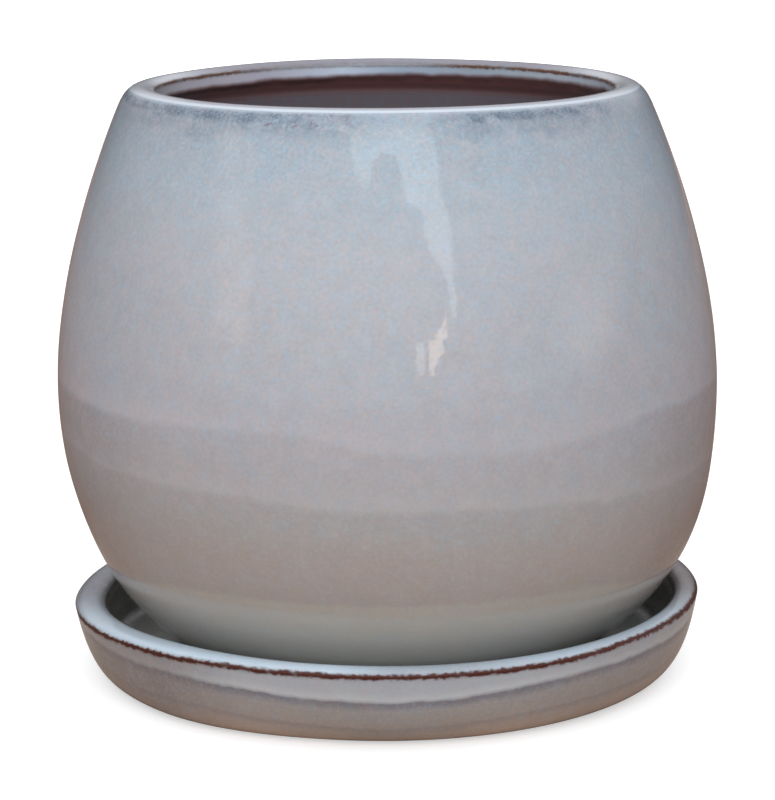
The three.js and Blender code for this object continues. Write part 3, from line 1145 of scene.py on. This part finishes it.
def saucer_glaze():
    made, recipe = material("saucer_glaze")
    shift = (40, 13, 8)
    past_edge = recipe.mark("past_edge")
    across = recipe.along("X")
    from_line = saucer_line_place(recipe, across, past_edge)
    outside = recipe.rise(from_line, 0, -1)
    inside = recipe.rise(past_edge, *POOL_BEGINS)
    tone = saucer_outside(recipe, across, flow_level(recipe, across, shift), outside)
    tone = saucer_lip(recipe, tone, across, past_edge, from_line)
    tone = recipe.tint(tone, POOL, inside, 0.9)
    tone = mottled(recipe, tone, 0.5, shift)
    tone, line = broken_edge(
        recipe, tone, from_line, SAUCER_LINE_WIDTH, SAUCER_LINE,
        gaps=0.33, halo_share=0.2, strength=1, shift=shift,
    )
    roughness = recipe.sum(glossy(recipe, line, shift), recipe.times(inside, POOL_ROUGHNESS))
    recipe.surface(tone, roughness, orange_peel(recipe, shift))
    return made


def bare_clay():
    made, recipe = material("bare_clay")
    tone = recipe.mix(recipe.patches(size=8, low=0.35, high=0.65, detail=4), CLAY, CLAY_DARK)
    grit = recipe.patches(size=0.5, low=0.62, high=0.7, detail=2)
    tone = recipe.tint(tone, CLAY_GRIT, grit, 0.5)
    roughness = recipe.spread(recipe.cloud(size=2), *NOISE_MOSTLY, *CLAY_ROUGHNESS)
    rings = recipe.bump(recipe.cloud(size=1.5, stretch=(1, 1, 20)), depth=0.05)
    grain = recipe.bump(recipe.cloud(size=0.4, detail=3), depth=0.06, under=rings)
    recipe.surface(tone, roughness, grain)
    return made


def make_pot(clay):
    points, along, begins = pot_profile()
    above_bare_foot = points[:, 1] > POT_FOOT_Z + GLAZE_SHORT_OF_FOOT
    glaze_from = along[np.argmax(above_bare_foot & (along > begins["flank"]))]
    glaze_to = begins["floor_round"] + GLAZE_SHORT_OF_FOOT
    coated = np.minimum(along - glaze_from, glaze_to - along)
    wash_from = begins["throat"] + WASH_BELOW_EDGE
    materials = [pot_glaze(), pot_inside(), clay]
    glazed = np.where(along < wash_from, 0, 1)
    piece = turned(
        "pot_body",
        under_the_glaze(points, coated),
        closed=True,
        surface=pot_surface,
        marks={"past_edge": along - begins["throat"]},
        materials=materials,
        zones=np.where(coated > 0, glazed, materials.index(clay)),
    )
    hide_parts("pot")
    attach(piece, "pot")


def make_saucer(clay):
    points, along, begins = saucer_profile()
    coated = along - begins["wall"] - SAUCER_GLAZE_SHORT
    materials = [saucer_glaze(), clay]
    piece = turned(
        "saucer_body",
        under_the_glaze(points, coated),
        closed=False,
        surface=saucer_surface,
        marks={"past_edge": along - begins["outer_roll"]},
        materials=materials,
        zones=np.where(coated > 0, 0, materials.index(clay)),
    )
    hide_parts("saucer")
    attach(piece, "saucer")


def white_for_the_camera(recipe, seen, unseen):
    """One shader where the camera looks straight at it, and another for all else."""
    camera = recipe.node("ShaderNodeLightPath", {}, output="Is Camera Ray")
    return recipe.node("ShaderNodeMixShader", {0: camera, 1: unseen, 2: seen})


def make_floor():
    rings = np.linspace(0, FLOOR_RADIUS, FLOOR_RINGS + 1)[1:]
    shape = bmesh.new()
    bmesh.ops.create_circle(shape, cap_ends=True, segments=FLOOR_SIDES, radius=rings[0])
    for inner, outer in zip(rings, rings[1:]):
        rim = [edge for edge in shape.edges if edge.is_boundary]
        grown = bmesh.ops.extrude_edge_only(shape, edges=rim)["geom"]
        corners = [part for part in grown if isinstance(part, bmesh.types.BMVert)]
        bmesh.ops.scale(shape, vec=Vector((outer / inner, outer / inner, 1)), verts=corners)
    mesh = bpy.data.meshes.new("floor")
    shape.to_mesh(mesh)
    shape.free()
    floor = added("floor", mesh)
    made, recipe = material("floor_paper")
    paper = recipe.node("ShaderNodeBsdfDiffuse", {"Color": FLOOR_WHITE})
    glow = recipe.node("ShaderNodeEmission", {"Color": WHITE, "Strength": FLOOR_GLOW})
    seen = recipe.node("ShaderNodeAddShader", {0: paper, 1: glow})
    distance = recipe.node("ShaderNodeVectorMath", {0: recipe.place()}, "Value", operation="LENGTH")
    far = recipe.rise(distance, *FLOOR_DARKENS)
    unseen = recipe.node("ShaderNodeBsdfDiffuse", {"Color": recipe.mix(far, FLOOR_NEAR, FLOOR_FAR)})
    recipe.output("ShaderNodeOutputMaterial", white_for_the_camera(recipe, seen, unseen))
    mesh.materials.append(made)


def make_world():
    """A sky that brightens upwards over a darker horizon, and white where the camera sees it.

    Directions run from -1 to 1 across, away from the camera and up.
    """
    world = bpy.data.worlds.new("room")
    world.use_nodes = True
    bpy.context.scene.world = world
    recipe = Recipe(world.node_tree)
    direction = recipe.node("ShaderNodeTexCoord", {}, output="Generated")
    across, away, up = recipe.axes(direction)
    turned_left = recipe.sum(away, recipe.times(across, 0.2))
    ahead = recipe.rise(turned_left, 0.1, -1)
    horizon = recipe.mix(ahead, ROOM_SIDE, ROOM_FRONT)
    low_sky = recipe.mix(ahead, SKY_BEHIND, SKY_AHEAD)
    light = recipe.mix(recipe.rise(up, 0.08, 0.35), horizon, low_sky)
    light = recipe.mix(recipe.rise(up, 0.3, 0.95), light, SKY_ABOVE)

    # A warm patch of wall at the left and another at the right, both low and in front
    in_front = recipe.rise(away, 0.05, -0.2)
    low_band = recipe.band(up, (0.12, 0.17), (0.6, 0.5))
    left_wall = recipe.times(recipe.near(across, middle=-0.81, reach=0.095), in_front, low_band)
    light = recipe.mix(left_wall, light, LEFT_WALL)
    lower_band = recipe.near(up, middle=0.13, reach=0.13)
    right_wall = recipe.times(recipe.rise(across, 0.82, 0.93), in_front, lower_band)
    light = recipe.mix(right_wall, light, RIGHT_WALL)
    seen = recipe.node("ShaderNodeBackground", {"Color": WHITE, "Strength": 1})
    unseen = recipe.node("ShaderNodeBackground", {"Color": light, "Strength": 1})
    recipe.output("ShaderNodeOutputWorld", white_for_the_camera(recipe, seen, unseen))


def add_lamp(name, place, target, width, height, watts, colour):
    light = bpy.data.lights.new(name, "AREA")
    light.shape = "RECTANGLE"
    light.size = width
    light.size_y = height
    light.energy = watts
    light.color = colour
    lamp = added(name, light)
    lamp.location = place
    lamp.rotation_euler = (Vector(target) - Vector(place)).to_track_quat("-Z", "Y").to_euler()
    return lamp


def make_soft_lamps():
    """A broad light in front and above, and a low one behind, so that the back isn't left dark.

    Neither shows in the glaze.
    """
    key = add_lamp("key", KEY_PLACE, KEY_TARGET, KEY_WIDTH, KEY_HEIGHT, KEY_WATTS, KEY_COLOUR)
    back = add_lamp("back", BACK_PLACE, BACK_TARGET, BACK_WIDTH, BACK_HEIGHT, BACK_WATTS, WHITE_LIGHT)
    for lamp in (key, back):
        lamp.visible_glossy = False


def make_sky_window():
    """An opening in front with an uneven skyline, which shows as the pale streak in the glaze."""
    width = WINDOW_RIGHT - WINDOW_LEFT
    tall = WINDOW_TOP - WINDOW_BOTTOM
    middle = ((WINDOW_LEFT + WINDOW_RIGHT) / 2, WINDOW_Y, (WINDOW_TOP + WINDOW_BOTTOM) / 2)
    watts = math.pi * width * tall
    lamp = add_lamp("sky_window", middle, (middle[0], 0, middle[2]), width, tall, watts, WHITE_LIGHT)
    lamp.data.use_nodes = True
    recipe = Recipe(lamp.data.node_tree)
    where = recipe.node("ShaderNodeNewGeometry", {}, output="Parametric")
    across, up = recipe.axes(where)[:2]
    skyline = recipe.node("ShaderNodeFloatCurve", {"Value": across})
    line = skyline.node.mapping.curves[0]
    for x, z in SKYLINE:
        line.points.new((x - WINDOW_LEFT) / width, (z - WINDOW_BOTTOM) / tall)
    for spot in line.points:
        spot.handle_type = "VECTOR"
    skyline.node.mapping.update()
    above = recipe.rise(recipe.less(up, skyline), -SKYLINE_BLUR, SKYLINE_BLUR)
    corner_z = (WINDOW_CORNER_Z - WINDOW_BOTTOM) / tall
    straight_z = (WINDOW_STRAIGHT_Z - WINDOW_BOTTOM) / tall
    top_right = (WINDOW_TOP_RIGHT - WINDOW_LEFT) / width
    right = recipe.spread(up, corner_z, straight_z, 1, top_right)
    within = recipe.rise(recipe.less(right, across), 0, WINDOW_SIDE_BLUR)
    fade = recipe.rise(up, 1, 0.3)
    fade = recipe.spread(fade, 0, 1, WINDOW_TOP_SHINE, WINDOW_SHINE)
    shine = recipe.times(above, within, fade)
    light = recipe.node("ShaderNodeEmission", {"Color": WINDOW_BLUE, "Strength": shine})
    recipe.output("ShaderNodeOutputLight", light)


def make_pane(name, outline, colour, strength):
    """A bright pane below the window, which only shows in the glaze."""
    mesh = bpy.data.meshes.new(name)
    corners = [(x, WINDOW_Y, z) for x, z in outline]
    mesh.from_pydata(corners, [], [tuple(range(len(corners)))])
    pane = added(name, mesh)
    made, recipe = material(name)
    glow = recipe.node("ShaderNodeEmission", {"Color": colour, "Strength": strength})
    recipe.output("ShaderNodeOutputMaterial", glow)
    mesh.materials.append(made)
    pane.visible_camera = False
    pane.visible_diffuse = False
    pane.visible_shadow = False


def make_camera():
    camera_data = bpy.data.cameras.new("photo_camera")
    camera_data.lens = CAMERA_LENS
    camera = added("photo_camera", camera_data)
    camera.location = CAMERA_PLACE
    pitched = Euler((math.pi / 2 - CAMERA_PITCH, 0, 0)).to_matrix()
    camera.rotation_euler = (pitched @ Matrix.Rotation(-CAMERA_ROLL, 3, "Z")).to_euler()
    bpy.context.scene.camera = camera


shared_clay = bare_clay()
make_pot(shared_clay)
make_saucer(shared_clay)
make_floor()
make_world()
make_soft_lamps()
make_sky_window()
make_pane("cream_pane", CREAM_PANE, CREAM, CREAM_SHINE)
make_pane("pale_pane", PALE_PANE, PALE, PALE_SHINE)
make_camera()

bpy.context.scene.view_settings.view_transform = "Standard"
